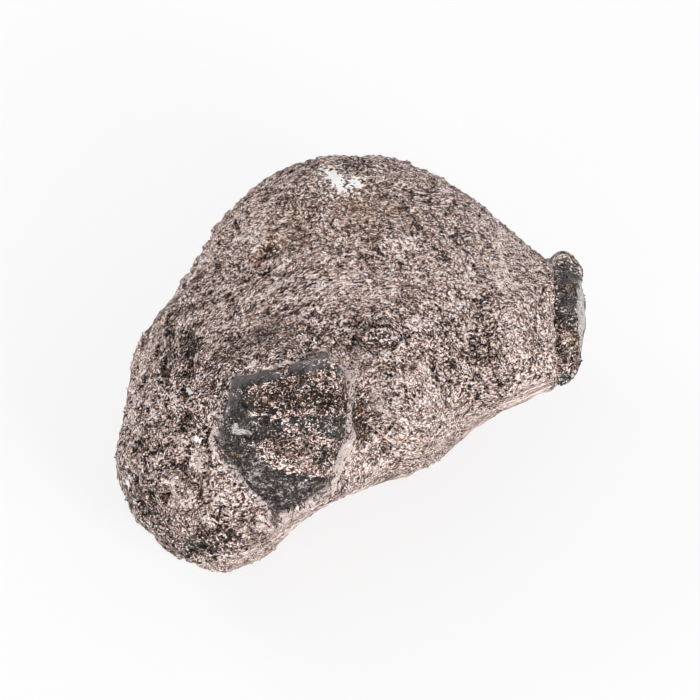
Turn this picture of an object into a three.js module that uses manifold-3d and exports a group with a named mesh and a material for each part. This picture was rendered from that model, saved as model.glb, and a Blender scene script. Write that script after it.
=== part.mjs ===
// Alexandrite crystals in a hand-sized lump of mica schist, in millimetres, +Z up.
// The lump lies on a small flat spot at z = 0, under the middle of its bounding box.
// It is drawn on a leaning plane that faces someone who looks down at it from the front:
// x runs across, y up the plane and z out of it. One turn about X stands it on the table.
import * as THREE from 'three';
import { ImprovedNoise } from 'three/addons/math/ImprovedNoise.js';
import { mergeVertices } from 'three/addons/utils/BufferGeometryUtils.js';
import Module from 'manifold-3d';

const wasm = await Module();
wasm.setup();

// Driving dimensions of the lump
const LEAN = THREE.MathUtils.degToRad(35); // the drawing plane leans back this far from the table
const FRONT_DEPTH = 20.5; // from the rim's plane out to the broad face
const BACK_DEPTH = 21; // from the rim's plane back to the underside
const SHEAR = -0.34; // the rim falls away from the viewer by this much of its height up the plane
const ROUNDNESS = 2.35; // 2 is an ellipse in section, and more is squarer
const REST_CUT = 1.3; // how much of the rounded underside the flat spot takes off
const WAVE_LENGTH = 13; // the lump's weathered unevenness
const WAVE_HEIGHT = 1.1;
const WAVE_START = 7; // a place in the noise where it makes no bump too many
const FRONT_STARTS = [0.02, 0.35]; // how far a direction faces the viewer before the front's forms set in
const SPHERE_DETAIL = 18; // 20 * (detail + 1)^2 faces
const SPHERE_STRETCH = new THREE.Vector3(1.7, 1.6, 1); // spreads the faces evenly over the lump's length
const RIM_STEPS = 720;
const SAME_POINT = 1e-4; // corners closer than this are one
const CUTTER_SIDE = 200; // more than the lump in every direction
const UPSIDE_DOWN = [180, 0, 0];

// The rim: where the lump turns away from the viewer, anticlockwise from the right-hand end
const RIM = [
  [42, 7.5], [39.5, 14.6], [33.8, 16.8], [28, 22.2], [18.7, 29.1], [8.2, 33.5], [-3.2, 34.2], [-13.3, 29.4],
  [-20.2, 20.1], [-26, 11.1], [-32.2, 0.8], [-34.4, -12.6], [-33.4, -20.4], [-29, -26.6],
  [-23.4, -30.4], [-16.8, -32.2], [-11.4, -30.4], [-7.4, -26.6], [-1.6, -22.4], [6, -19.2],
  [16, -15.4], [21.6, -10.4], [26, -7.6], [33.5, -4.2], [39.5, -0.4],
];

// Forms of the broad face: where, half-length and half-width, turn, height and how flat-topped
const FRONT_FORMS = [
  { name: 'low shoulder at the left', at: [-27, -20], size: [9, 7], turn: -50, height: 2.2, edge: 2 },
  { name: 'lump under the large crystal', at: [-19.5, -26.5], size: [7, 5], turn: -20, height: 2.5, edge: 2 },
  { name: 'rib below the small crystal', at: [12, -5], size: [12, 5], turn: -62, height: 4, edge: 2 },
  { name: 'hollow beside the large crystal', at: [5.6, -8], size: [6, 3], turn: -80, height: -2.4, edge: 2 },
  { name: 'hollow right of the rib', at: [20, -3.5], size: [9, 4], turn: -65, height: -2.6, edge: 2 },
  { name: 'hollow left of the shoulder', at: [22.6, 4], size: [7, 3.4], turn: -85, height: -1.6, edge: 2 },
  { name: 'rib of the right shoulder', at: [27.6, 7], size: [11, 2.8], turn: -82, height: 1.8, edge: 2 },
  { name: 'pit above the right shoulder', at: [25, 17], size: [3.6, 2.8], turn: 0, height: -2, edge: 2 },
];

// Planes that weathering and breakage left on the lump: the way each faces and its distance
const FLATS = [
  { name: 'upper left side', faces: [-0.57, 0.79, 0.3], distance: 26.9, blend: 0.012 },
  { name: 'far side', faces: [0.1, 0.7, -0.7], distance: 33, blend: 0.04 },
  { name: 'right end', faces: [1, 0, 0.04], distance: 35, blend: 0.012 },
  { name: 'left end below', faces: [-0.5, -0.45, -0.74], distance: 21.5, blend: 0.05 },
  { name: 'right end below', faces: [0.6, 0.1, -0.8], distance: 28, blend: 0.05 },
  { name: 'near side below', faces: [0.25, -0.85, -0.35], distance: 22.5, blend: 0.04 },
];

// The crystals: hexagonal plates of twinned alexandrite, each placed by the middle of its face
const POCKET_GAP = 0.3; // between a crystal and the schist round it
const LARGE = {
  name: 'alexandrite_crystal_large',
  outline: [
    [9.4, 9.1], [6.8, 12], [-7.6, 8.8], [-10.1, -0.8],
    [-6.1, -7.5], [-1.7, -12.7], [6.3, -8.1], [9.2, -0.2],
  ],
  depth: 12,
  chamfer: 1.4,
  at: [-7.5, -11, 25.5],
  turn: [9, 6, 0],
};
// The schist round it lies just below its face
const LARGE_SEAT = { size: [15, 12.5], turn: -62, edge: 6, sink: 0.9 };
// Below a line across it, its face falls away by some degrees
const LARGE_BEND = { at: -1, fall: 7 };
const EDGE = {
  name: 'alexandrite_crystal_edge',
  outline: [[8.2, 4.8], [0.4, 10.6], [-7.6, 5.7], [-8.4, -5.1], [-0.6, -10.7], [7.4, -5.5]],
  depth: 6.6,
  chamfer: 2.6,
  at: [39.8, 7.6, -0.8],
  turn: [0, 84, 3],
};
const SMALL = {
  name: 'alexandrite_crystal_small',
  outline: [[3, 0.4], [1.1, 2.1], [-1.6, 2.1], [-3.1, -0.3], [-1.3, -2.2], [1.6, -1.9]],
  depth: 5,
  chamfer: 0.6,
  at: [7.3, 4.1, 22],
  turn: [-4, 4, 0],
};

// Distance from the lump's heart to its rim, by the angle round the leaning plane.
function rimLookup() {
  const corners = RIM.map(([x, y]) => new THREE.Vector3(x, y, 0));
  const samples = new THREE.CatmullRomCurve3(corners, true, 'centripetal')
    .getPoints(RIM_STEPS)
    .map((p) => ({ angle: Math.atan2(p.y, p.x), reach: Math.hypot(p.x, p.y) }))
    .sort((a, b) => a.angle - b.angle);
  return (angle) => {
    const next = samples.findIndex((s) => s.angle >= angle);
    const high = samples[Math.max(next, 0)];
    const low = samples.at(next - 1);
    const span = THREE.MathUtils.euclideanModulo(high.angle - low.angle, 2 * Math.PI) || 1;
    const along = THREE.MathUtils.euclideanModulo(angle - low.angle, 2 * Math.PI) / span;
    return THREE.MathUtils.lerp(low.reach, high.reach, along);
  };
}

// How much of a form there is at a place on the plane: 1 in its middle, and 0 well outside it.
function share({ at, size, turn, edge }, x, y) {
  const angle = THREE.MathUtils.degToRad(turn);
  const dx = x - at[0];
  const dy = y - at[1];
  const along = (dx * Math.cos(angle) + dy * Math.sin(angle)) / size[0];
  const across = (dy * Math.cos(angle) - dx * Math.sin(angle)) / size[1];
  return Math.exp(-(Math.hypot(along, across) ** edge));
}

// The height of the large crystal's face, carried on past its edges.
function faceLevel(x, y) {
  const turn = new THREE.Euler(...LARGE.turn.map(THREE.MathUtils.degToRad));
  const faces = new THREE.Vector3(0, 0, 1).applyEuler(turn);
  return LARGE.at[2] - ((x - LARGE.at[0]) * faces.x + (y - LARGE.at[1]) * faces.y) / faces.z;
}

// Presses a point back to a plane where it stands out past it, with a rounded edge.
function flatten(point, { faces, distance, blend }) {
  const normal = new THREE.Vector3(...faces).normalize();
  const out = point.dot(normal) / distance;
  const kept = -blend * Math.log(Math.exp(-out / blend) + Math.exp(-1 / blend));
  if (out > 0) point.addScaledVector(normal, (kept - out) * distance);
}

// The bare lump on the drawing plane, before the pockets and the flat spot are cut.
function lumpGeometry() {
  const geometry = new THREE.IcosahedronGeometry(1, SPHERE_DETAIL);
  const rim = rimLookup();
  const noise = new ImprovedNoise();
  const place = geometry.attributes.position;
  const point = new THREE.Vector3();
  for (let i = 0; i < place.count; i++) {
    point.fromBufferAttribute(place, i).multiply(SPHERE_STRETCH).normalize();
    const front = THREE.MathUtils.smoothstep(point.z, ...FRONT_STARTS);
    const across = Math.hypot(point.x, point.y) / rim(Math.atan2(point.y, point.x));
    const out = Math.abs(point.z) / (point.z > 0 ? FRONT_DEPTH : BACK_DEPTH);
    point.multiplyScalar((across ** ROUNDNESS + out ** ROUNDNESS) ** (-1 / ROUNDNESS));
    const { x, y } = point;
    point.z += SHEAR * y;
    for (const form of FRONT_FORMS) point.z += front * form.height * share(form, x, y);
    const seated = front * share({ at: LARGE.at, ...LARGE_SEAT }, x, y);
    point.z = THREE.MathUtils.lerp(point.z, faceLevel(x, y) - LARGE_SEAT.sink, seated);
    for (const flat of FLATS) flatten(point, flat);
    const wave = noise.noise(...point.toArray().map((n) => n / WAVE_LENGTH + WAVE_START));
    point.multiplyScalar(1 + (WAVE_HEIGHT * wave) / point.length());
    place.setXYZ(i, ...point.toArray());
  }
  return geometry;
}

// A crystal plate with its face at z = 0, chamfered round both faces, and grown all round for a pocket.
function plateGeometry({ outline, depth, chamfer }, grow = 0) {
  const corners = outline.map(([x, y]) => new THREE.Vector2(x, y));
  const halfWidth = Math.min(...corners.map((corner) => corner.length())) * Math.cos(Math.PI / 6);
  for (const corner of corners) corner.multiplyScalar(1 + grow / halfWidth);
  return new THREE.ExtrudeGeometry(new THREE.Shape(corners), {
    depth: depth - 2 * chamfer + 2 * grow,
    bevelThickness: chamfer,
    bevelSize: chamfer,
    bevelOffset: -chamfer,
    bevelSegments: 1,
  }).translate(0, 0, chamfer - depth - grow);
}

// A closed geometry as a solid, and back.
function toSolid(geometry) {
  const bare = new THREE.BufferGeometry();
  bare.setAttribute('position', geometry.attributes.position);
  bare.setIndex(geometry.index);
  const merged = mergeVertices(bare, SAME_POINT);
  return new wasm.Manifold(
    new wasm.Mesh({
      numProp: 3,
      vertProperties: merged.attributes.position.array,
      triVerts: new Uint32Array(merged.index.array),
    }),
  );
}

function toGeometry(solid) {
  const mesh = solid.getMesh();
  const geometry = new THREE.BufferGeometry();
  geometry.setAttribute('position', new THREE.BufferAttribute(mesh.vertProperties, 3));
  geometry.setIndex(new THREE.BufferAttribute(mesh.triVerts, 1));
  geometry.computeVertexNormals();
  return geometry;
}

// A block that takes off everything past a level, set by the place and the turn of its near face.
function cutter(at, turn) {
  const cube = new THREE.BoxGeometry(CUTTER_SIDE, CUTTER_SIDE, CUTTER_SIDE);
  const block = new THREE.Mesh(cube.translate(0, 0, CUTTER_SIDE / 2));
  block.position.set(...at);
  block.rotation.set(...turn.map(THREE.MathUtils.degToRad));
  block.updateMatrix();
  return toSolid(block.geometry.applyMatrix4(block.matrix));
}

// A crystal as a placed mesh.
function crystal(spec, geometry = plateGeometry(spec)) {
  const mesh = new THREE.Mesh(geometry, ALEXANDRITE.clone());
  mesh.name = spec.name;
  mesh.position.set(...spec.at);
  mesh.rotation.set(...spec.turn.map(THREE.MathUtils.degToRad));
  return mesh;
}

// The pocket that a crystal leaves in the schist.
function pocket(spec, standing) {
  const mould = crystal(spec, plateGeometry(spec, POCKET_GAP));
  mould.updateMatrix();
  return toSolid(mould.geometry.applyMatrix4(mould.matrix).applyMatrix4(standing));
}

const ALEXANDRITE = new THREE.MeshStandardMaterial({ color: 0x3b4240, roughness: 0.45 });
const MICA_SCHIST = new THREE.MeshStandardMaterial({ color: 0x8a7b76, roughness: 0.8 });

// The crystals lean with the drawing plane
const leaning = new THREE.Group();
leaning.rotation.x = LEAN;
leaning.updateMatrix();

function largeCrystal() {
  const bend = cutter([0, LARGE_BEND.at, 0], [LARGE_BEND.fall, 0, 0]);
  return crystal(LARGE, toGeometry(toSolid(plateGeometry(LARGE)).subtract(bend)));
}
leaning.add(largeCrystal(), crystal(EDGE), crystal(SMALL));

// The schist stands on its flat spot, with a pocket for each crystal
function schist() {
  const lump = lumpGeometry().applyMatrix4(leaning.matrix);
  lump.computeBoundingBox();
  const table = cutter([0, 0, lump.boundingBox.min.z + REST_CUT], UPSIDE_DOWN);
  const solid = [LARGE, EDGE, SMALL]
    .map((spec) => pocket(spec, leaning.matrix))
    .reduce((rest, hole) => rest.subtract(hole), toSolid(lump).subtract(table));
  const mesh = new THREE.Mesh(toGeometry(solid), MICA_SCHIST);
  mesh.name = 'mica_schist_matrix';
  return mesh;
}

const specimen = new THREE.Group();
specimen.add(schist(), leaning);

// The origin is under the middle of the bounding box, on the table
const bounds = new THREE.Box3().setFromObject(specimen, true);
const middle = bounds.getCenter(new THREE.Vector3());
specimen.position.set(-middle.x, -middle.y, -bounds.min.z);

export default specimen;
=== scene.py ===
# Alexandrite crystals in a rounded lump of mica schist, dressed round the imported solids.
# Blender's lengths are in metres, and mm is a millimetre.
import math

import bpy
import numpy as np
from mathutils import Matrix, Vector, noise
from mathutils.bvhtree import BVHTree


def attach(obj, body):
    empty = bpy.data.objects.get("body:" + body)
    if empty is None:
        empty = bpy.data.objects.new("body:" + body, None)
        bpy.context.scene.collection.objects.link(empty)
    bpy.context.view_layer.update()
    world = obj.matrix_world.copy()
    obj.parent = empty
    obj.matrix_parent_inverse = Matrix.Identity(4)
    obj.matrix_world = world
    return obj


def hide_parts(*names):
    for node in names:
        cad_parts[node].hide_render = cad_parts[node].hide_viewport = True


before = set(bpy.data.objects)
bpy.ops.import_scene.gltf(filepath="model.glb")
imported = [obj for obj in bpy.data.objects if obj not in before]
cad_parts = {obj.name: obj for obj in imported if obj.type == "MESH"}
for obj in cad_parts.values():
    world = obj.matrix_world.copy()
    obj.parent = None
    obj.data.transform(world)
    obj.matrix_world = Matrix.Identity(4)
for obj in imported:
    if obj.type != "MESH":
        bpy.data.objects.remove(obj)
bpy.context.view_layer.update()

mm = 0.001
crystalNames = ["alexandrite_crystal_large", "alexandrite_crystal_edge", "alexandrite_crystal_small"]

# The drawing plane leans back from the table and faces the camera: x right, y up it, z out of it
plane = {
    "lean": math.radians(35),
    "heart": (-2.845, 0.610, 18.436),  # mm, where its origin stands over the table
}
planeTurn = np.array(Matrix.Rotation(plane["lean"], 3, "X"))


def toPlane(points):  # metres on the table to millimetres on the plane
    return (points / mm - np.array(plane["heart"])) @ planeTurn


def fromPlane(points):
    return (np.array(points) @ planeTurn.T + np.array(plane["heart"])) * mm


# Sums on many points at once
def unit(vectors):
    return vectors / np.maximum(np.linalg.norm(vectors, axis=1, keepdims=True), 1e-9)


def easeBetween(values, low, high):
    share = np.clip((values - low) / (high - low), 0, 1)
    return share * share * (3 - 2 * share)


def hump(values, middle, width):
    return np.exp(-(((values - middle) / width) ** 2))


def noiseAt(points, size, octaves=1, start=0.0):  # from about -1 to 1
    return np.array([noise.fractal(Vector(p), 1, 2, octaves) for p in points / size + start])


def spotWeight(points, spots):  # the sum of soft oval spots, each given on the plane
    total = np.zeros(len(points))
    for spot in spots:
        angle = math.radians(spot.get("turn", 0))
        across = points[:, :2] - np.array(spot["at"])
        along = (across @ np.array([math.cos(angle), math.sin(angle)])) / spot["size"][0]
        over = (across @ np.array([-math.sin(angle), math.cos(angle)])) / spot["size"][1]
        total += spot["weight"] * np.exp(-((along**2 + over**2) ** spot.get("edge", 1)))
    return total


# Reading and writing a mesh
def pointsOf(piece):
    flat = np.empty(len(piece.data.vertices) * 3, dtype=np.float32)
    piece.data.vertices.foreach_get("co", flat)
    return flat.reshape(-1, 3).astype(float)


def normalsOf(piece):
    flat = np.empty(len(piece.data.vertices) * 3, dtype=np.float32)
    piece.data.vertex_normals.foreach_get("vector", flat)
    return flat.reshape(-1, 3).astype(float)


def movePoints(piece, points):
    piece.data.vertices.foreach_set("co", points.astype(np.float32).ravel())
    piece.data.update()


def keepValues(piece, **values):
    for name, numbers in values.items():
        store = piece.data.attributes.new(name, "FLOAT", "POINT")
        store.data.foreach_set("value", np.asarray(numbers, dtype=np.float32))


# Working on one piece at a time
def choose(*pieces):
    if bpy.context.object and bpy.context.object.mode != "OBJECT":
        bpy.ops.object.mode_set(mode="OBJECT")
    bpy.ops.object.select_all(action="DESELECT")
    for piece in pieces:
        piece.select_set(True)
    bpy.context.view_layer.objects.active = pieces[0]


def finishWith(piece, kind, **settings):  # adds one modifier and applies it
    choose(piece)
    modifier = piece.modifiers.new(kind.title(), kind)
    for name, value in settings.items():
        setattr(modifier, name, value)
    bpy.ops.object.modifier_apply(modifier=modifier.name)


def mergedCopy(nodeName, pieceName):
    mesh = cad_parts[nodeName].data.copy()
    mesh.name = pieceName
    mesh.materials.clear()
    piece = bpy.data.objects.new(pieceName, mesh)
    bpy.context.scene.collection.objects.link(piece)
    choose(piece)
    bpy.ops.mesh.customdata_custom_splitnormals_clear()
    bpy.ops.object.mode_set(mode="EDIT")
    bpy.ops.mesh.select_all(action="SELECT")
    bpy.ops.mesh.remove_doubles(threshold=0.001 * mm)
    bpy.ops.object.mode_set(mode="OBJECT")
    return piece


# The sheets of mica arch over the lump, and stand up beside the crystal in its end
foliation = {
    "archCentre": (12.8, -18.4, -6.0),  # mm on the plane
    "archDepth": 0.45,
    "turnsUpFrom": 17.0,
    "turnsUpOver": 4.0,
    "turnsUpBy": 1.9,
    "startsAt": 40.0,
    "broadFace": {"at": (-24, -18), "size": (13, 13), "turn": 0, "weight": 0.8, "edge": 2},
}


def layerAt(points):  # mm across the sheets
    arch = points - np.array(foliation["archCentre"])
    arch[:, 2] *= foliation["archDepth"]
    past = (points[:, 0] - foliation["turnsUpFrom"]) / foliation["turnsUpOver"]
    upright = foliation["turnsUpOver"] * np.logaddexp(0, past)
    across = np.linalg.norm(arch, axis=1) + foliation["turnsUpBy"] * upright - foliation["startsAt"]
    return across * (1 - spotWeight(points, [foliation["broadFace"]]))


def acrossSheets(points):  # the way the sheets face, on the table
    step = 0.2
    slopes = [layerAt(points + step * side) - layerAt(points - step * side) for side in np.eye(3)]
    return unit(np.stack(slopes, axis=1)) @ planeTurn.T


# The crystals
crystal = {
    "grow": 0.2,  # mm
    "plugGrow": 0.25,  # more, for the plug that closes the pocket round each
    "edgeRounding": 3,
    "unevenness": 0.12,
    "steps": 0.3,
    "chips": {"size": 1.7, "depth": 0.5},
    "micaFibres": 0.25,
    "rimSlope": (0.76, 0.90),  # a bevel of the large one that turns this far away is bare of mica
    "rimWay": (-0.2, 1.0, 0),  # on the plane, the side where its bevels are bare
    "large": {"voxel": 0.27, "seed": 3.1},
    "edge": {"voxel": 0.24, "seed": 8.4},
    "small": {"voxel": 0.14, "seed": 5.7},
}
crystalBare = [  # where the mica has come off the crystals, on the plane
    {"at": (-13.6, -16.4), "size": (7.8, 3.7), "turn": -50, "weight": 1.4, "edge": 2},
    {"at": (-7.6, -20.2), "size": (5.0, 3.3), "turn": 30, "weight": 1.4, "edge": 2},
    {"at": (-3.0, -19.3), "size": (4.0, 1.5), "turn": 24, "weight": 1.2, "edge": 2},
    {"at": (-15.0, -7.4), "size": (2.5, 4.8), "turn": -15, "weight": 1.1, "edge": 2},
    {"at": (-11.8, -9.8), "size": (3.8, 1.9), "turn": 8, "weight": 1.1, "edge": 2},
    {"at": (0.2, -9.6), "size": (2.1, 2.2), "turn": 0, "weight": 1.2, "edge": 2},
    {"at": (-4.4, -8.8), "size": (4.6, 1.3), "turn": 4, "weight": 0.8, "edge": 2},
    {"at": (-10.4, -17.2), "size": (2.8, 1.6), "turn": -35, "weight": 0.7, "edge": 2},
    {"at": (-8.9, -6.9), "size": (2.0, 0.9), "turn": 10, "weight": 0.7, "edge": 2},
    {"at": (-1.9, -13.6), "size": (0.9, 2.0), "turn": 0, "weight": 0.65, "edge": 2},
    {"at": (36.8, 12.6), "size": (2.7, 4.6), "turn": 0, "weight": 1.0, "edge": 2},
    {"at": (36.6, 8.4), "size": (2.3, 2.8), "turn": 0, "weight": 0.7, "edge": 2},
    {"at": (37.4, 4.4), "size": (1.2, 2.4), "turn": 0, "weight": 0.5, "edge": 2},
    {"at": (34.2, 5.8), "size": (0.8, 2.4), "turn": 0, "weight": 0.5, "edge": 2},
    {"at": (36.8, -1.9), "size": (1.1, 1.3), "turn": 20, "weight": 1.0, "edge": 2},
    {"at": (39.5, 7.8), "size": (1.0, 5.6), "turn": 2, "weight": 1.2, "edge": 2},
    {"at": (7.2, 4.0), "size": (2.4, 1.7), "turn": 0, "weight": 0.6, "edge": 2},
]
crystalKept = [  # where it still bridges a bare bevel
    {"at": (-8.0, -0.4), "size": (0.9, 1.3), "turn": 0, "weight": 1.0, "edge": 2},
    {"at": (-14.1, -3.8), "size": (0.9, 0.7), "turn": 0, "weight": 0.9, "edge": 2},
    {"at": (-0.2, 0.6), "size": (0.7, 1.0), "turn": 0, "weight": 0.8, "edge": 2},
]
crystalPale = [  # patches painted paler on them
    {"at": (-14.7, -10.2), "size": (1.4, 0.5), "turn": -8, "weight": 1.5},
    {"at": (-15.3, -9.2), "size": (0.8, 0.5), "turn": 20, "weight": 0.9},
    {"at": (-0.9, -15.2), "size": (0.6, 3.2), "turn": -9, "weight": 0.6},
    {"at": (39.4, 8.0), "size": (0.9, 5.4), "turn": 2, "weight": 1.8},
    {"at": (7.0, 4.4), "size": (1.4, 1.0), "turn": 0, "weight": 0.45},
]
crystalRust = [  # ochre stains on them
    {"at": (-15.1, -14.0), "size": (0.9, 0.8), "turn": 0, "weight": 0.35},
    {"at": (-10.7, -5.0), "size": (1.5, 0.9), "turn": 0, "weight": 0.25},
    {"at": (-2.6, -0.4), "size": (1.4, 0.6), "turn": 10, "weight": 0.25},
    {"at": (37.3, 12.6), "size": (1.0, 1.3), "turn": 0, "weight": 0.4},
    {"at": (35.2, 10.8), "size": (0.5, 0.7), "turn": 0, "weight": 0.4},
    {"at": (37.4, 4.4), "size": (1.0, 2.2), "turn": 0, "weight": 0.35},
]
crystalChips = [  # mm that they are worn down by
    {"at": (40.2, 1.2), "size": (1.0, 4.6), "turn": 0, "weight": 0.8},
    {"at": (40.2, 12.8), "size": (0.8, 2.4), "turn": 0, "weight": 0.6},
]
crystalShade = [  # where the mica left on them is darker or paler
    {"at": (-9.0, -5.0), "size": (10, 4.5), "turn": 0, "weight": -0.24, "edge": 2},
    {"at": (0.4, -6.2), "size": (1.8, 1.8), "turn": 0, "weight": -0.2},
    {"at": (-7.0, -12.5), "size": (9, 2.6), "turn": 0, "weight": -0.12, "edge": 2},
    {"at": (-6.6, -15.0), "size": (5.0, 3.4), "turn": 20, "weight": 0.06},
    {"at": (-10.0, -11.2), "size": (3.2, 1.0), "turn": 0, "weight": -0.1},
    {"at": (-8.4, -8.9), "size": (1.7, 0.6), "turn": 20, "weight": 0.14},
    {"at": (-1.4, -15.0), "size": (1.2, 3.4), "turn": -9, "weight": -0.12},
    {"at": (-1.0, -5.4), "size": (2.2, 1.8), "turn": 0, "weight": -0.1},
    {"at": (37.2, 14.6), "size": (3.0, 2.4), "turn": 0, "weight": -0.3},
    {"at": (36.6, 5.0), "size": (3.4, 3.2), "turn": 0, "weight": -0.22, "edge": 2},
    {"at": (37.0, 0.0), "size": (3.0, 2.4), "turn": 0, "weight": -0.05},
    {"at": (7.3, 4.0), "size": (4.0, 3.0), "turn": 0, "weight": -0.14},
]


def faceOf(nodeName):  # the way its broadest flat face looks
    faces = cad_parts[nodeName].data.polygons
    turns = np.round([face.normal[:] for face in faces], 2)
    kinds, which = np.unique(turns * np.sign(turns[:, 2:] + 1e-3), axis=0, return_inverse=True)
    areas = np.bincount(which.ravel(), weights=[face.area for face in faces])
    return unit(kinds[areas.argmax()][None])[0]


def makeCrystal(nodeName):
    kind = nodeName.split("_")[-1]
    rule = crystal[kind]
    piece = mergedCopy(nodeName, "alexandrite_" + kind + "_face")
    finishWith(piece, "DISPLACE", strength=crystal["grow"] * mm, mid_level=0)
    plug = piece.copy()
    plug.data = piece.data.copy()
    bpy.context.scene.collection.objects.link(plug)
    finishWith(plug, "DISPLACE", strength=crystal["plugGrow"] * mm, mid_level=0)
    finishWith(piece, "REMESH", mode="VOXEL", voxel_size=rule["voxel"] * mm)
    finishWith(piece, "SMOOTH", factor=0.5, iterations=crystal["edgeRounding"])
    points, normals = pointsOf(piece), normalsOf(piece)
    onPlane = toPlane(points)
    bumps = noiseAt(onPlane, 2.6, 3, rule["seed"]) * crystal["unevenness"]
    steps = np.round(noiseAt(onPlane * (1, 2.4, 1), 4.5, 1, rule["seed"]) * 5) / 5
    chips = easeBetween(noiseAt(onPlane, crystal["chips"]["size"], 2, rule["seed"] + 9), 0.42, 0.8)
    lift = bumps + steps * crystal["steps"] - chips * crystal["chips"]["depth"]
    lift -= spotWeight(onPlane, crystalChips)
    movePoints(piece, points + normals * (lift * mm)[:, None])
    mica = 1 - spotWeight(onPlane, crystalBare)
    if kind == "large":
        bevel = 1 - easeBetween(abs(normals @ faceOf(nodeName)), *crystal["rimSlope"])
        rim = bevel * easeBetween(normals @ planeTurn @ np.array(crystal["rimWay"]), 0.0, 0.3)
    else:
        rim = np.zeros(len(points))
    rim *= 1 - spotWeight(onPlane, crystalKept)
    mica *= 1 - rim
    keepValues(piece, layer=onPlane[:, 1] * 0.8, mica=mica, pale=spotWeight(onPlane, crystalPale))
    keepValues(piece, rust=0.14 + spotWeight(onPlane, crystalRust))
    keepValues(piece, shade=spotWeight(onPlane, crystalShade), rim=rim)
    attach(piece, "root")
    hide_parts(nodeName)
    return piece, plug


crystals, plugs = zip(*[makeCrystal(name) for name in crystalNames])
print("crystals:", [len(piece.data.polygons) for piece in crystals])

# The schist
schist = {
    "voxel": 0.42,  # mm
    "facetRounding": 17,
    "sink": 0.16,
    "unevenness": 0.42,
    "ledge": 0.26,
    "ledgeEvery": 1.25,
    "roughness": 0.24,
    "restBand": 0.8,  # mm over the table where the surface stays as it is
    "pocket": {"depth": 0.9, "from": 0.44, "to": 0.6},  # where it dips to meet a crystal
    "collar": {"height": 0.25, "middle": 1.1, "width": 0.6},
}
ledgePlaces = [
    {"at": (4, -19), "size": (16, 4.5), "turn": 22, "weight": 0.5},
    {"at": (-22, 18), "size": (9, 3), "turn": 45, "weight": 1.2},
    {"at": (-4, 17.5), "size": (5, 2.2), "turn": 10, "weight": 1.3},
    {"at": (22, 8), "size": (5, 12), "turn": 0, "weight": 0.7},
]
# pits are sunk and painted darker, knobs raised and painted paler: painted shade and painted light on the
# relief
pitting = {
    "size": 2.4,
    "depth": 0.55,
    "paintedPitShade": 0.34,
    "knobSize": 2.0,
    "knobHeight": 0.3,
    "paintedKnobLight": 0.14,
}
pittedPlaces = [
    {"at": (-24, -8), "size": (9, 14), "turn": 10, "weight": 0.9, "edge": 2},
    {"at": (-14, 18), "size": (11, 8), "turn": 40, "weight": 0.7, "edge": 2},
    {"at": (-24, -24), "size": (10, 6), "turn": -20, "weight": 0.9, "edge": 2},
    {"at": (18, 2), "size": (8, 9), "turn": 0, "weight": 0.6, "edge": 2},
]
reliefPlaces = [  # mm of relief too small for the solids
    {"at": (3.9, -8.4), "size": (1.5, 3.2), "turn": 4, "weight": -1.0},
    {"at": (-14.0, 17.0), "size": (12, 0.9), "turn": 27, "weight": 0.4},
    {"at": (20.8, 19.2), "size": (1.8, 1.4), "turn": 0, "weight": -0.6},
    {"at": (28.8, 13.6), "size": (1.2, 1.6), "turn": 0, "weight": -0.6},
    {"at": (-11.7, 22.3), "size": (2.4, 1.6), "turn": 30, "weight": 0.35},
    {"at": (32.6, 6.0), "size": (1.0, 9.0), "turn": 4, "weight": -0.7},
    {"at": (-29.6, -21.6), "size": (2.6, 3.4), "turn": 20, "weight": -0.4},
    {"at": (-19.7, -28.4), "size": (4.0, 1.5), "turn": 10, "weight": 0.45},
    {"at": (-13.6, -19.0), "size": (5.0, 1.2), "turn": -53, "weight": -0.8},
]
trimPlaces = [  # mm that the lump's outline lies further in, or out where it is below 0
    {"at": (-13.0, -31.6), "size": (3.0, 2.6), "turn": 0, "weight": 0.8},
    {"at": (-22.8, 16.4), "size": (2.4, 2.4), "turn": 0, "weight": 0.5},
    {"at": (18.4, -12.8), "size": (3.6, 2.0), "turn": 0, "weight": 0.5},
    {"at": (-34.2, -8.0), "size": (1.6, 5.0), "turn": 0, "weight": 0.35},
    {"at": (34.4, -3.2), "size": (2.2, 1.5), "turn": 0, "weight": -1.2},
]
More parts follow.
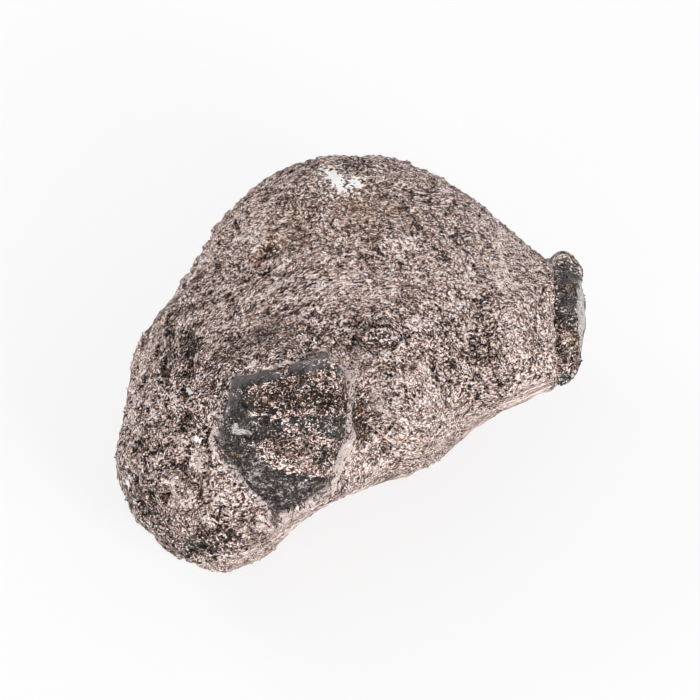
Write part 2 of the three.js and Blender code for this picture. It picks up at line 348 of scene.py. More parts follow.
# darker patches: partly the stone's own darker minerals, partly painted shade in its pits and hollows, as
# beside the large crystal and along the right side
darkAndShadedPlaces = [
    {"at": (-12.0, 4.6), "size": (6.5, 2.4), "turn": 16, "weight": 0.22},
    {"at": (3.0, 25.0), "size": (16, 8), "turn": 0, "weight": 0.05, "edge": 2},
    {"at": (-9.0, 2.6), "size": (10, 1.8), "turn": 12, "weight": 0.07},
    {"at": (-24.0, 8.8), "size": (6.0, 4.0), "turn": 45, "weight": 0.16},
    {"at": (-22.8, 2.8), "size": (3.6, 1.8), "turn": 40, "weight": 0.14},
    {"at": (-27.2, -1.6), "size": (4.4, 2.4), "turn": 60, "weight": 0.12},
    {"at": (-18.6, -0.4), "size": (3.6, 2.8), "turn": 30, "weight": 0.15},
    {"at": (-24.0, -8.4), "size": (4.0, 2.2), "turn": 40, "weight": 0.13},
    {"at": (-28.8, -22.6), "size": (6.6, 2.2), "turn": -58, "weight": 0.26},
    {"at": (-20.0, -28.2), "size": (4.2, 1.5), "turn": 10, "weight": 0.60},
    {"at": (3.0, 32.4), "size": (5.0, 1.6), "turn": -8, "weight": 0.26},
    {"at": (3.9, -8.4), "size": (1.4, 3.2), "turn": 4, "weight": 0.65},
    {"at": (22.6, 3.0), "size": (2.0, 4.2), "turn": -8, "weight": 0.17},
    {"at": (26.2, -3.5), "size": (2.4, 1.2), "turn": 10, "weight": 0.16},
    {"at": (18.6, 20.6), "size": (3.0, 1.8), "turn": -30, "weight": 0.15},
    {"at": (29.0, 15.6), "size": (1.5, 2.4), "turn": 20, "weight": 0.22},
    {"at": (31.2, 1.6), "size": (1.3, 3.6), "turn": 0, "weight": 0.14},
    {"at": (-2.7, 4.2), "size": (4.6, 1.8), "turn": 18, "weight": 0.12},
    {"at": (3.2, 4.6), "size": (1.6, 2.4), "turn": 0, "weight": 0.12},
    {"at": (11.6, 9.5), "size": (6.0, 1.6), "turn": 16, "weight": 0.10},
    {"at": (6.0, 23.5), "size": (8.0, 5.0), "turn": 0, "weight": 0.04},
    {"at": (18.0, 0.5), "size": (4.0, 3.0), "turn": 30, "weight": 0.07},
]
# paler patches: partly the stone's own paler minerals, partly painted light on the rims and slopes lit by the
# white surroundings, as along the left and upper right outline
paleAndLitPlaces = [
    {"at": (27.4, 20.6), "size": (8.0, 2.0), "turn": -46, "weight": 0.22},
    {"at": (26.8, 14.4), "size": (2.4, 2.8), "turn": 12, "weight": 0.32},
    {"at": (21.4, 12.0), "size": (0.9, 6.0), "turn": -8, "weight": 0.14},
    {"at": (28.6, 5.6), "size": (1.8, 7.0), "turn": 4, "weight": 0.14},
    {"at": (14.0, -4.0), "size": (9.5, 2.6), "turn": -62, "weight": 0.12},
    {"at": (13.2, -10.4), "size": (4.4, 4.0), "turn": 0, "weight": 0.10},
    {"at": (-21.0, -19.4), "size": (4.2, 6.0), "turn": -10, "weight": 0.15},
    {"at": (-14.0, -30.6), "size": (8.0, 2.6), "turn": 5, "weight": 0.12},
    {"at": (-12.6, 22.4), "size": (2.6, 3.4), "turn": -30, "weight": 0.18},
    {"at": (-25.5, 13.6), "size": (9.0, 1.5), "turn": 56, "weight": 0.16},
    {"at": (-32.0, -4.0), "size": (1.6, 8.0), "turn": -8, "weight": 0.20},
    {"at": (0.2, 13.2), "size": (3.2, 1.0), "turn": 24, "weight": 0.24},
    {"at": (2.2, -15.0), "size": (1.6, 2.2), "turn": 10, "weight": 0.20},
    {"at": (-22.0, 17.0), "size": (7.0, 0.9), "turn": 40, "weight": 0.14},
    {"at": (-14.0, 9.5), "size": (7.0, 0.8), "turn": 32, "weight": 0.12},
    {"at": (-3.5, -22.8), "size": (6.0, 1.6), "turn": 24, "weight": 0.16},
]
wornAndLitPlaces = [  # where the surface is rubbed smooth and pale, and painted paler still by light from the glowing floor and the white surroundings on the lower edge and the left rim
    {"at": (4.0, -21.4), "size": (17, 2.6), "turn": 20, "weight": 1.0, "edge": 2},
    {"at": (25.5, -8.6), "size": (9, 2.4), "turn": 33, "weight": 0.7, "edge": 2},
    {"at": (-12.0, -33.5), "size": (14, 3.0), "turn": 12, "weight": 0.5, "edge": 2},
    {"at": (31.8, -3.2), "size": (2.6, 3.0), "turn": 0, "weight": 0.8},
    {"at": (28.0, 17.5), "size": (6.5, 1.8), "turn": -48, "weight": 0.5},
    {"at": (-31.5, 3.0), "size": (1.8, 14), "turn": -24, "weight": 0.35},
]
whitePlaces = [  # white patches at the top, and single white specks that are painted glints of mica flakes
    {"at": (-0.6, 30.6), "size": (1.7, 1.2), "turn": 0, "weight": 0.85},
    {"at": (0.4, 28.6), "size": (1.2, 1.6), "turn": 0, "weight": 0.8},
    {"at": (3.3, 29.0), "size": (1.6, 1.5), "turn": 0, "weight": 0.85},
    {"at": (-21.6, -11.2), "size": (0.8, 0.45), "turn": -10, "weight": 1.6, "edge": 2},
    {"at": (-23.0, -3.9), "size": (0.5, 0.3), "turn": 0, "weight": 1.6, "edge": 2},
    {"at": (-32.6, -18.6), "size": (0.4, 0.6), "turn": 10, "weight": 1.4, "edge": 2},
]
rustPlaces = [
    {"at": (-8.0, 21.5), "size": (3.6, 2.4), "turn": 0, "weight": 0.34},
    {"at": (-12.0, 16.5), "size": (2.0, 1.6), "turn": 0, "weight": 0.2},
    {"at": (4.0, 24.0), "size": (3.0, 5.0), "turn": 0, "weight": 0.2},
    {"at": (12.3, -0.8), "size": (1.6, 1.6), "turn": 0, "weight": 0.3},
    {"at": (3.9, -8.0), "size": (1.4, 2.4), "turn": 0, "weight": 0.2},
    {"at": (0.0, 27.0), "size": (16, 7), "turn": 0, "weight": 0.1},
]
fibrousPlaces = [  # where the grain is drawn out along the sheets
    {"at": (-15, 9), "size": (17, 6), "turn": 27, "weight": 0.9, "edge": 2},
    {"at": (4, 12), "size": (11, 4.5), "turn": 8, "weight": 0.6, "edge": 2},
    {"at": (4, -19.5), "size": (17, 3.5), "turn": 22, "weight": 1.0, "edge": 2},
    {"at": (-25, 15), "size": (6, 9), "turn": -30, "weight": 0.7, "edge": 2},
    {"at": (3, -6), "size": (3.5, 10), "turn": 0, "weight": 0.6, "edge": 2},
    {"at": (-12, -32), "size": (12, 3), "turn": 10, "weight": 0.7, "edge": 2},
]
seam = {"way": (0.36, -0.93, -0.3), "across": 1.0}  # thin beds along the lower edge


def collarShares(onPlane):  # where pale bands wrap the large crystal: on its right, below it and above it
    right = easeBetween(onPlane[:, 0], -9, -2) * easeBetween(onPlane[:, 1], -27, -20)
    right *= easeBetween(-onPlane[:, 1], -1.5, 2.0)
    below = easeBetween(-onPlane[:, 0] - 0.6 * onPlane[:, 1], 18, 23)
    above = easeBetween(onPlane[:, 1] - 0.2 * onPlane[:, 0], -3.5, -1.0)
    return right, below, above


def nearestGap(points, trees):
    return np.array([min(tree.find_nearest(Vector(p))[3] for tree in trees) for p in points]) / mm


def treeOf(piece):
    return BVHTree.FromPolygons(
        [v.co.copy() for v in piece.data.vertices], [p.vertices[:] for p in piece.data.polygons]
    )


def makeSchist():
    piece = mergedCopy("mica_schist_matrix", "mica_schist_lump")
    choose(piece, *plugs)
    bpy.ops.object.join()
    finishWith(piece, "REMESH", mode="VOXEL", voxel_size=schist["voxel"] * mm)
    finishWith(piece, "SMOOTH", factor=0.5, iterations=schist["facetRounding"])
    points, normals = pointsOf(piece), normalsOf(piece)
    onPlane = toPlane(points)
    trees = [treeOf(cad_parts[name]) for name in crystalNames]
    gap = nearestGap(points, trees)
    wrap = nearestGap(points, trees[:1]) + 0.25 * noiseAt(onPlane, 2.0, 2, 7.0)
    right, below, above = collarShares(onPlane)
    rounded = hump(wrap, schist["collar"]["middle"], schist["collar"]["width"])
    collar = right * rounded + 0.8 * below * rounded
    front = easeBetween(normals @ planeTurn[:, 2], 0.0, 0.4)
    layer = layerAt(onPlane)
    wavy = layer + 1.1 * noiseAt(onPlane, 5.0, 2, 2.0)
    riser = (wavy / schist["ledgeEvery"]) % 1
    ledges = (easeBetween(riser, 0.0, 0.25) - riser) * schist["ledge"]
    ledges *= 0.45 + spotWeight(onPlane, ledgePlaces) + 0.5 * (1 - front)
    lift = noiseAt(onPlane, 4.2, 3, 4.0) * schist["unevenness"] - schist["sink"]
    lift += ledges + noiseAt(onPlane, 0.95, 2, 6.0) * schist["roughness"]
    lift += spotWeight(onPlane, reliefPlaces) * front + schist["collar"]["height"] * collar
    lift -= spotWeight(onPlane, trimPlaces) * easeBetween(normals @ planeTurn[:, 2], -0.6, -0.1)
    pitted = 0.35 + spotWeight(onPlane, pittedPlaces) + 0.4 * (1 - front)
    pits = pitted * easeBetween(noiseAt(onPlane, pitting["size"], 3, 9.0), 0.1, 0.5)
    knobs = pitted * easeBetween(noiseAt(onPlane, pitting["knobSize"], 3, 21.0), 0.15, 0.6)
    lift += knobs * pitting["knobHeight"] - pits * pitting["depth"]
    # the rubbed band faces down towards the glowing floor: its paleness is partly painted bounce light
    worn = np.clip(spotWeight(onPlane, wornAndLitPlaces), 0, 1) * easeBetween(-normals[:, 2], -0.75, 0.2)
    lift *= (1 - 0.4 * collar) * (1 - 0.6 * worn)
    pocket = schist["pocket"]
    lift -= pocket["depth"] * (1 - easeBetween(gap, pocket["from"], pocket["to"]))
    lift *= easeBetween(points[:, 2] / mm, 0.1, schist["restBand"])
    points += normals * (lift * mm)[:, None]
    points[:, 2] = np.maximum(points[:, 2], 0)
    movePoints(piece, points)
    # the painted tone: patches of the stone's own, with painted light on rims and knobs and painted shade in
    # pits and hollows
    shade = (spotWeight(onPlane, paleAndLitPlaces) - spotWeight(onPlane, darkAndShadedPlaces)) * front
    shade += knobs * pitting["paintedKnobLight"] - pits * pitting["paintedPitShade"]
    bare = easeBetween(gap, 0.4, 0.7) * (1 - np.clip(1.2 * collar, 0, 1))
    fibrous = np.clip(spotWeight(onPlane, fibrousPlaces) + 0.35 * (1 - front), 0, 1)
    keepValues(piece, layer=layer, shade=shade, worn=worn, seam=onPlane @ np.array(seam["way"]))
    keepValues(piece, wrap=wrap, wrapRight=right, wrapBelow=below, wrapAbove=above, fibrous=fibrous)
    keepValues(piece, rust=0.12 + spotWeight(onPlane, rustPlaces) * front)
    keepValues(piece, white=spotWeight(onPlane, whitePlaces) * front, bare=bare)
    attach(piece, "root")
    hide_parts("mica_schist_matrix")
    return piece


lump = makeSchist()
print("schist:", len(lump.data.polygons) * 2, "triangles")

# The loose grains
grain = {
    "biotite": {"count": 30000, "size": (0.32, 0.19, 0.11), "darker": 2.4, "seed": 11},
    "feldspar": {"count": 33000, "size": (0.30, 0.19, 0.11), "darker": -1.6, "seed": 12},
    "muscovite": {"count": 33000, "size": (0.36, 0.14, 0.08), "darker": -1.2, "seed": 13},
    "lift": 0.22,  # of its height, how far a grain's middle stands out
    "variety": 0.45,
    "spread": {"spin": 22, "tilt": 14, "pitch": 8},  # degrees from the sheets
    "overTable": 0.6,  # mm
    "micaNeeded": 0.88,  # on a crystal, about how much of its mica has to be left
}


def grainShape():  # one flake, a millimetre each way: a low ridge-topped chip
    choose(lump)
    bpy.ops.mesh.primitive_cone_add(vertices=4, radius1=0.5, radius2=0, depth=1)
    shape = bpy.context.object
    for corner in shape.data.vertices:
        corner.select = corner.co.z > 0
    bpy.ops.object.mode_set(mode="EDIT")
    bpy.ops.transform.translate(value=(0.12, 0.08, -0.1))
    bpy.ops.object.mode_set(mode="OBJECT")
    corners = pointsOf(shape)
    shape.data.calc_loop_triangles()
    faces = np.array([face.vertices[:] for face in shape.data.loop_triangles])
    bpy.data.objects.remove(shape)
    return corners, faces


def groundFor(lumpPiece, crystalPieces):  # every place where a grain can lie
    parts = []
    for piece in (lumpPiece, *crystalPieces):
        values = {}
        for name in ("shade", "bare", "mica", "white", "worn", "fibrous"):
            store = piece.data.attributes.get(name)
            values[name] = np.zeros(len(piece.data.vertices), dtype=np.float32)
            if store:
                store.data.foreach_get("value", values[name])
        points = pointsOf(piece)
        room = (points[:, 2] > grain["overTable"] * mm) & (values["white"] < 0.4)
        mica = values["mica"] + 0.3 * noiseAt(points / mm, 0.9)
        room &= (values["bare"] > 0.9) | (mica > grain["micaNeeded"])
        room &= values["worn"] < 0.6
        shades = values["shade"][room]
        if piece == lumpPiece:
            across = acrossSheets(toPlane(points[room]))
        else:
            across = np.tile(planeTurn[:, 1], (room.sum(), 1))
            shades -= 0.45 - 0.2 * values["mica"][room]
        parts.append((points[room], normalsOf(piece)[room], across, shades, values["fibrous"][room]))
    return [np.concatenate(part) for part in zip(*parts)]


def strewGrains(kind, ground, shape):
    rule, spread = grain[kind], grain["spread"]
    dice = np.random.default_rng(rule["seed"])
    spots, normals, across, shades, fibrous = ground
    patchy = noiseAt(spots / mm, 1.6, 1, rule["seed"]) + noiseAt(spots / mm, 5.5, 2, rule["seed"] + 5)
    # dark grains gather where the tone below is darker, painted shade among it
    chance = np.exp(-rule["darker"] * (shades * 2.2) + 1.3 * patchy)
    chosen = dice.choice(len(spots), rule["count"], replace=False, p=chance / chance.sum())
    spots, up = spots[chosen], normals[chosen]
    along = np.cross(up, across[chosen])
    loose = 0.9 - 0.75 * fibrous[chosen, None]
    along = unit(along + loose * dice.normal(size=along.shape))
    side = unit(np.cross(up, along))
    spin, tilt, pitch = (
        np.tan(np.radians(spread[name]) * dice.normal(size=(rule["count"], 1)))
        for name in ("spin", "tilt", "pitch")
    )
    along = unit(along + spin * side)
    up = unit(up + tilt * side + pitch * along)
    side = unit(np.cross(up, along))
    along = np.cross(side, up)
    growth = grain["variety"] * dice.normal(size=(rule["count"], 1)).clip(-2, 1.6)
    sizes = np.array(rule["size"]) * np.exp(growth + 0.2 * dice.normal(size=(rule["count"], 3))) * mm
    corners = shape[0][None] + 0.13 * dice.normal(size=(rule["count"], len(shape[0]), 3))
    corners = corners * sizes[:, None]
    axes = np.stack([along, side, up], axis=1)
    shift = dice.normal(size=(rule["count"], 3)) * (0.13, 0.13, 0.01) * mm
    shift[:, 2] += grain["lift"] * sizes[:, 2]
    centres = spots + np.einsum("gi,gij->gj", shift, axes)
    points = np.einsum("gci,gij->gcj", corners, axes) + centres[:, None]
    faces = shape[1][None] + len(shape[0]) * np.arange(rule["count"])[:, None, None]
    mesh = bpy.data.meshes.new(kind + "_grains")
    mesh.vertices.add(points.size // 3)
    mesh.vertices.foreach_set("co", points.ravel().astype(np.float32))
    mesh.loops.add(faces.size)
    mesh.loops.foreach_set("vertex_index", faces.ravel().astype(np.int32))
    mesh.polygons.add(faces.size // 3)
    mesh.polygons.foreach_set("loop_start", np.arange(0, faces.size, 3, dtype=np.int32))
    mesh.update(calc_edges=True)
    piece = bpy.data.objects.new(kind + "_grains", mesh)
    bpy.context.scene.collection.objects.link(piece)
    # each grain's tone follows the tone below it, painted light and shade included
    tones = dice.random(rule["count"]) + 0.8 * shades[chosen]
    hues = dice.random(rule["count"])
    keepValues(piece, tone=np.repeat(tones, len(shape[0])), hue=np.repeat(hues, len(shape[0])))
    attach(piece, "root")
    return piece


shape = grainShape()
ground = groundFor(lump, crystals)
grains = {kind: strewGrains(kind, ground, shape) for kind in ("biotite", "feldspar", "muscovite")}
print("grains:", {kind: len(piece.data.polygons) for kind, piece in grains.items()})


# The materials
class Wire:  # a socket that takes part in sums
    def __init__(self, recipe, socket):
        self.recipe, self.socket = recipe, socket

    def other(self, output):
        return Wire(self.recipe, self.socket.node.outputs[output])

    def sum(self, operation, first, second):
        return self.recipe.add("Math", {"operation": operation}, {0: first, 1: second})

    def __add__(self, number):
        return self.sum("ADD", self, number)

    def __sub__(self, number):
        return self.sum("SUBTRACT", self, number)

    def __rsub__(self, number):
        return self.sum("SUBTRACT", number, self)

    def __mul__(self, number):
        return self.sum("MULTIPLY", self, number)

    def __pow__(self, number):
        return self.sum("POWER", self, number)

    __radd__, __rmul__ = __add__, __mul__


class Recipe:  # a material that is built up node by node
    def __init__(self, name, steady):
        self.material = bpy.data.materials.new(name)
        self.material.use_nodes = True
        self.tree = self.material.node_tree
        self.shader = self.tree.nodes["Principled BSDF"]
        for socket, value in steady.items():
            self.shader.inputs[socket].default_value = value

    def link(self, socket, value):
        if isinstance(value, Wire):
            self.tree.links.new(value.socket, socket)
        else:
            socket.default_value = value

    def add(self, kind, settings, sockets, output=0):
        node = self.tree.nodes.new("ShaderNode" + kind)
        for name, value in settings.items():
            if name == "stops":
                self.setStops(node.color_ramp, value)
            else:
                setattr(node, name, value)
        for name, value in sockets.items():
            self.link(node.inputs[name], value)
        return Wire(self, node.outputs[output])

    def setStops(self, ramp, stops):
        while len(ramp.elements) < len(stops):
            ramp.elements.new(0.5)
        for element, (place, colour) in zip(ramp.elements, stops):
            element.position = place
            element.color = (*colour, 1)

    def mix(self, share, first, second, blend="MIX"):
        first, second = ((*c, 1) if isinstance(c, tuple) else c for c in (first, second))
        settings = {"data_type": "RGBA", "blend_type": blend}
        return self.add("Mix", settings, {0: share, 6: first, 7: second}, 2)

    def ramp(self, value, stops, interpolation="LINEAR"):
        wire = self.add("ValToRGB", {"stops": stops}, {"Fac": value})
        wire.socket.node.color_ramp.interpolation = interpolation
        return wire

    def edge(self, value, low, high):  # 0 below low and 1 above high
        settings = {"interpolation_type": "SMOOTHSTEP"}
        return self.add("MapRange", settings, {"Value": value, "From Min": low, "From Max": high})

    def band(self, value, low, high, soft):  # 1 from low to high
        return self.edge(value, low - soft, low) * self.edge(value, high + soft, high)

    def stored(self, name):
        return self.add("Attribute", {"attribute_name": name}, {}, "Fac")

    def place(self):  # millimetres on the piece
        coordinates = self.add("TexCoord", {}, {}, "Object")
        return self.add("VectorMath", {"operation": "SCALE"}, {0: coordinates, "Scale": 1 / mm})

    def noise(self, place, scale, detail=2.0, output="Fac"):
        sockets = {"Vector": place, "Scale": scale, "Detail": detail}
        return self.add("TexNoise", {}, sockets, output)

    def finish(self, piece, colour, roughness, height, strength, distance):
        bump = self.add("Bump", {}, {"Height": height, "Strength": strength, "Distance": distance * mm})
        self.link(self.shader.inputs["Base Color"], colour)
        self.link(self.shader.inputs["Roughness"], roughness)
        self.link(self.shader.inputs["Normal"], bump)
        piece.data.materials.clear()
        piece.data.materials.append(self.material)


minerals = {
    "cell": 1.7,  # of the coarse grains a millimetre
    "flatness": 2.2,  # how much finer fibrous ones are across the sheets
    "contrast": 1.04,
    "brightness": 0.53,
    "stops": [
        (0.00, (0.005, 0.003, 0.0026)),
        (0.16, (0.023, 0.0125, 0.010)),
        (0.32, (0.115, 0.070, 0.058)),
        (0.50, (0.350, 0.246, 0.216)),
        (0.68, (0.63, 0.475, 0.430)),
        (0.86, (0.89, 0.715, 0.665)),
        (1.00, (0.97, 0.90, 0.88)),
    ],
    "hues": [
        (0.10, (1.02, 0.86, 0.66)),
        (0.34, (1, 0.98, 0.97)),
        (0.60, (1, 1, 1)),
        (0.92, (0.84, 0.92, 1.0)),
    ],
    "rust": (0.30, 0.15, 0.06),
    # the rubbed band's colour, its paleness partly painted light
    "worn": (0.58, 0.45, 0.42),
}
stoneGloss = {"Specular IOR Level": 0.1, "Sheen Weight": 0.15, "Sheen Roughness": 0.5}


def randomCells(recipe, place, scale, layer=None):  # random colours, and how far from its middle each cell is
    settings, sockets = {}, {"Vector": place, "Scale": scale}
    if layer:
        settings["voronoi_dimensions"] = "4D"
        sockets["W"] = layer * minerals["flatness"]
    cells = recipe.add("TexVoronoi", settings, sockets, "Color")
    picks = recipe.add("SeparateColor", {}, {"Color": cells}, "Red")
    return picks, cells.other("Distance")


def mineralGrains(recipe, place, layer, fibrous):  # the grains' tone about 0, their hue and rounded form
    wander = recipe.noise(place, 2.2, 1.0, "Color")
    place = recipe.add("VectorMath", {"operation": "MULTIPLY_ADD"}, {0: wander, 1: (0.12,) * 3, 2: place})
    grains, form = randomCells(recipe, place, minerals["cell"])
    specks, speckForm = randomCells(recipe, place, minerals["cell"] * 2)
    crumbs = randomCells(recipe, place, minerals["cell"] * 4)[0]
    flakes = randomCells(recipe, place, minerals["cell"], layer)[0]
    fibres = randomCells(recipe, place, minerals["cell"] * 1.8, layer)[0]
    hue = specks.other("Green") * 0.6 + grains.other("Green") * 0.4
    grains = grains * 0.62 + specks * 0.95
    flakes = flakes * 0.65 + fibres * 0.95
    tone = grains + fibrous * (flakes - grains) + crumbs * 0.62 - 1.1
    return tone, hue, (1 - form) * 0.4 + (1 - speckForm) * 0.6


def streaks(recipe, place, layer, scale, flatness):  # noise drawn out along the sheets, about -0.3 to 0.3
    sockets = {"Vector": place, "W": layer * flatness, "Scale": scale, "Detail": 3.0}
    return recipe.add("TexNoise", {"noise_dimensions": "4D"}, sockets) - 0.5


def schistColour(recipe, place, layer, shade, rust, fibrous):
    tone, hue, form = mineralGrains(recipe, place, layer, fibrous)
    clouds = (recipe.noise(place, 0.18, 3.0) - 0.5) * 0.3 + (recipe.noise(place, 0.75, 3.0) - 0.5) * 0.9
    bands = streaks(recipe, place, layer, 0.35, 3.0) * 0.7 + streaks(recipe, place, layer, 1.1, 4.0) * 0.7
    strands = streaks(recipe, place, layer, 0.24, 8.0)
    cracks, ridges = recipe.edge(strands, 0.07, 0.12), recipe.edge(strands, -0.07, -0.12)
    tone = tone * minerals["contrast"] + clouds + bands + shade
    tone = tone + (ridges * 0.2 - cracks * 0.34) * fibrous + minerals["brightness"]
    colour = recipe.ramp(tone, minerals["stops"])
    colour = recipe.mix(1.0, colour, recipe.ramp(hue, minerals["hues"]), "MULTIPLY")
    rusty = recipe.edge(recipe.noise(place, 0.6, 4.0) + rust, 0.62, 0.85) * recipe.edge(hue, 0.3, 0.7)
    return recipe.mix(rusty * 0.5, colour, minerals["rust"]), tone, hue, form


def schistMaterial():
    recipe = Recipe("mica_schist", stoneGloss)
    place, layer = recipe.place(), recipe.stored("layer")
    worn = recipe.stored("worn")
    shade, rust, fibrous = (recipe.stored(name) for name in ("shade", "rust", "fibrous"))
    colour, tone, pick, form = schistColour(recipe, place, layer, shade, rust, fibrous)
    slow = recipe.add("VectorMath", {"operation": "SCALE"}, {0: place, "Scale": 0.12})
    sockets = {"Vector": slow, "W": recipe.stored("seam") * 1.5, "Scale": 1.0, "Detail": 2.0}
    beds = recipe.add("TexNoise", {"noise_dimensions": "4D"}, sockets)
    # the rubbed band's pale colour, partly painted light from the floor and the surroundings
    rubbedAndLit = recipe.ramp(beds + (pick - 0.5) * 0.16 + (tone - 0.5) * 0.24, [
        (0.36, (0.30, 0.20, 0.17)),
        (0.50, minerals["worn"]),
        (0.68, (0.80, 0.67, 0.62)),
    ])
    parting = recipe.add("Math", {"operation": "ABSOLUTE"}, {0: beds - 0.47})
    rubbedAndLit = recipe.mix(recipe.edge(parting, 0.034, 0.012) * 0.85, rubbedAndLit, (0.09, 0.05, 0.04))
    colour = recipe.mix(recipe.edge(worn + (pick - 0.5) * 0.5 + (tone - 0.5) * 0.4, 0.3, 0.8), colour, rubbedAndLit)
    wrap = recipe.stored("wrap")
    slow = recipe.add("VectorMath", {"operation": "SCALE"}, {0: place, "Scale": 0.3})
    sockets = {"Vector": slow, "W": wrap * 3.4, "Scale": 1.0, "Detail": 3.0}
    lines = recipe.add("TexNoise", {"noise_dimensions": "4D"}, sockets)
    paler = recipe.stored("wrapRight") * 0.08 - recipe.stored("wrapBelow") * 0.06
    collar = recipe.ramp(lines + paler + (tone - 0.5) * 0.4, [
        (0.38, (0.075, 0.052, 0.046)),
        (0.48, (0.31, 0.24, 0.225)),
        (0.58, (0.66, 0.55, 0.52)),
    ])
    wrapped = recipe.band(wrap, 0.4, 1.7, 0.3) * recipe.stored("wrapRight") * 0.9
    wrapped += recipe.band(wrap, 0.4, 1.2, 0.4) * recipe.stored("wrapBelow")
    wrapped += recipe.band(wrap, 0.4, 0.7, 0.15) * recipe.stored("wrapAbove") * 0.9
    colour = recipe.mix(recipe.edge(wrapped + (tone - 0.5) * 0.5, 0.3, 0.75) * 0.9, colour, collar)
    ragged = recipe.noise(place, 1.3, 4.0)
    # white patches, and painted glints of single mica flakes
    whitePatchesAndGlints = recipe.edge(recipe.stored("white") + (ragged - 0.5) * 3.2, 0.52, 0.58)
    colour = recipe.mix(whitePatchesAndGlints, colour, (0.93, 0.92, 0.91))
    roughness = pick * 0.3 + 0.4
    height = tone + form * 0.4
    recipe.finish(lump, colour, roughness, height * (1.0 - worn * 0.6), 0.8, 0.16)


def crystalMaterial(piece, name):
    recipe = Recipe(name, {"Specular IOR Level": 0.2})
    place, layer = recipe.place(), recipe.stored("layer")
    shade, rust = recipe.stored("shade"), recipe.stored("rust")
    schistLike, tone = schistColour(recipe, place, layer, shade, rust, crystal["micaFibres"])[:2]
    mottle, fine = recipe.noise(place, 0.7, 4.0), recipe.noise(place, 3.4, 3.0)
    palePatchColours = [(0.38, (0.24, 0.235, 0.21)), (0.58, (0.62, 0.585, 0.56))]
    slate = recipe.ramp(
        mottle * 0.4 + fine * 0.6 + (tone - 0.4) * 0.45,
        [
            (0.25, (0.004, 0.0035, 0.0034)),
            (0.44, (0.015, 0.0125, 0.012)),
            (0.58, (0.044, 0.038, 0.037)),
            (0.72, (0.125, 0.107, 0.102)),
            (0.84, (0.38, 0.33, 0.31)),
        ],
    )
    specks = recipe.edge(recipe.noise(place, 2.6, 2.0) + rust * 0.35, 0.70, 0.77)
    slate = recipe.mix(specks * 0.8, slate, (0.36, 0.19, 0.08))
    smooth = recipe.stored("rim") * recipe.edge(recipe.noise(place, 0.25, 2.0), 0.38, 0.52)
    sheen = recipe.ramp(mottle, [(0.3, (0.045, 0.039, 0.041)), (0.7, (0.20, 0.178, 0.185))])
    slate = recipe.mix(smooth * 0.7, slate, sheen)
    ragged = (mottle - 0.5) * 1.3 + (fine - 0.5) * 0.9
    left = recipe.edge(recipe.stored("mica") + (tone - 0.4) * 0.8 + ragged, 0.40, 0.76)
    colour = recipe.mix(left * 0.92, slate, schistLike)
    pale = recipe.edge(recipe.stored("pale") + recipe.noise(place, 1.4, 3.0) + (tone - 0.5) * 0.3, 0.9, 1.4)
    colour = recipe.mix(pale * 0.8, colour, recipe.ramp(fine, palePatchColours))
    roughness = left * 0.2 + 0.42
    recipe.finish(piece, colour, roughness, tone * left * 0.8 + fine + mottle, 0.7, 0.12)


def grainMaterial(kind, roughness, gloss, *colours):
    recipe = Recipe(kind + "_grain", {"Specular IOR Level": gloss})
    tone = recipe.stored("tone")
    mottle = recipe.noise(recipe.place(), 6.0)
    stops = list(zip((0.05, 0.55, 1.0), colours))
    colour = recipe.ramp(tone * 0.85 + (mottle - 0.35) * 0.4, stops)
    colour = recipe.mix(1.0, colour, recipe.ramp(recipe.stored("hue"), minerals["hues"]), "MULTIPLY")
    recipe.finish(grains[kind], colour, tone * 0.2 + roughness, mottle, 0.3, 0.05)


schistMaterial()
for piece in crystals:
    crystalMaterial(piece, piece.name)
grainMaterial("biotite", 0.4, 0.15, (0.004, 0.0025, 0.002), (0.016, 0.010, 0.008), (0.10, 0.066, 0.054))
grainMaterial("feldspar", 0.5, 0.2, (0.12, 0.080, 0.068), (0.35, 0.255, 0.225), (0.74, 0.61, 0.57))
grainMaterial("muscovite", 0.35, 0.4, (0.16, 0.115, 0.10), (0.46, 0.35, 0.32), (0.95, 0.88, 0.86))
print("materials done")

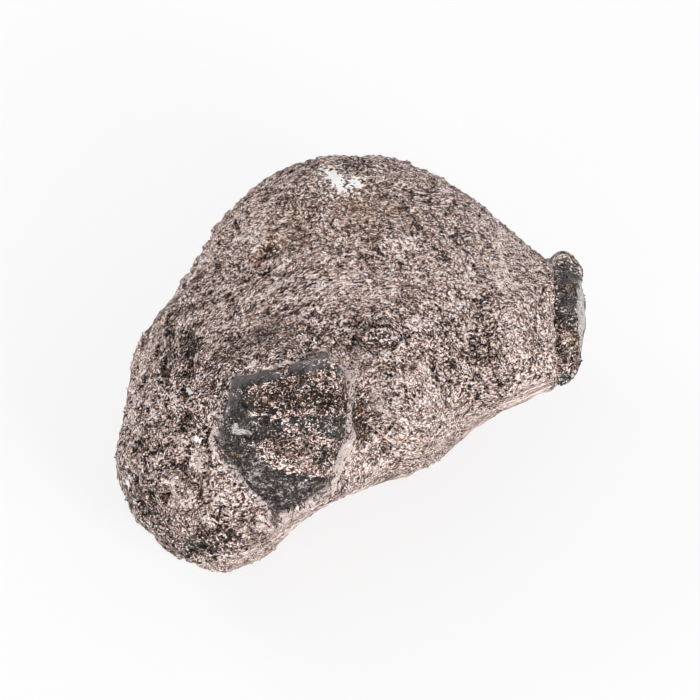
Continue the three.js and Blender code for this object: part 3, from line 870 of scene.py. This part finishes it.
# The studio
studio = {
    "distance": 0.70,  # metres from the camera to the plane
    "field": 0.112,  # metres of the plane across the picture
    "aim": (2.4, 2.4, 0.0),  # mm on the plane
    "sky": {"overhead": 0.5, "level": 1.8},
    "floorGlow": 0.76,
    "lights": [
        {"at": (0.34, -0.40, 0.28), "size": 0.22, "watts": 1.9},
        {"at": (-0.38, 0.26, 0.34), "size": 0.22, "watts": 0.9},
    ],
}


def lightTent(tree):  # bright all round at table level, dimmer overhead
    direction = tree.nodes.new("ShaderNodeTexCoord").outputs["Generated"]
    parts = tree.nodes.new("ShaderNodeSeparateXYZ")
    height = tree.nodes.new("ShaderNodeMapRange")
    tree.links.new(direction, parts.inputs["Vector"])
    tree.links.new(parts.outputs["Z"], height.inputs["Value"])
    height.inputs["From Max"].default_value = 0.8
    height.inputs["To Min"].default_value = studio["sky"]["level"]
    height.inputs["To Max"].default_value = studio["sky"]["overhead"]
    tree.nodes["Background"].inputs["Color"].default_value = (1, 1, 1, 1)
    tree.links.new(height.outputs["Result"], tree.nodes["Background"].inputs["Strength"])


def setStudio():
    aim = Vector(fromPlane(studio["aim"]))
    out = Vector(planeTurn[:, 2])
    choose(lump)
    bpy.ops.object.camera_add(location=aim + out * studio["distance"], rotation=(plane["lean"], 0, 0))
    camera = bpy.context.object
    camera.data.lens = camera.data.sensor_width * studio["distance"] / studio["field"]
    camera.data.clip_start, camera.data.clip_end = 0.01, 20
    bpy.context.scene.camera = camera
    for light in studio["lights"]:
        aimAt = (Vector((0, 0, 0.02)) - Vector(light["at"])).to_track_quat("-Z", "Y").to_euler()
        bpy.ops.object.light_add(type="AREA", location=light["at"], rotation=aimAt)
        bpy.context.object.data.size = light["size"]
        bpy.context.object.data.energy = light["watts"]
    world = bpy.data.worlds.new("studio")
    world.use_nodes = True
    lightTent(world.node_tree)
    bpy.context.scene.world = world
    bpy.context.scene.view_settings.view_transform = "Standard"
    bpy.context.scene.cycles.filter_width = 1.0  # the photograph is sharp down to a pixel
    bpy.ops.mesh.primitive_plane_add(size=6)
    floor = bpy.context.object
    floor.name = "studio_floor"
    recipe = Recipe("pale_floor", {
        "Base Color": (0.18, 0.196, 0.192, 1),
        "Roughness": 0.9,
        "Emission Color": (1, 0.98, 0.985, 1),
        "Emission Strength": studio["floorGlow"],
    })
    floor.data.materials.append(recipe.material)


setStudio()
print("studio done")
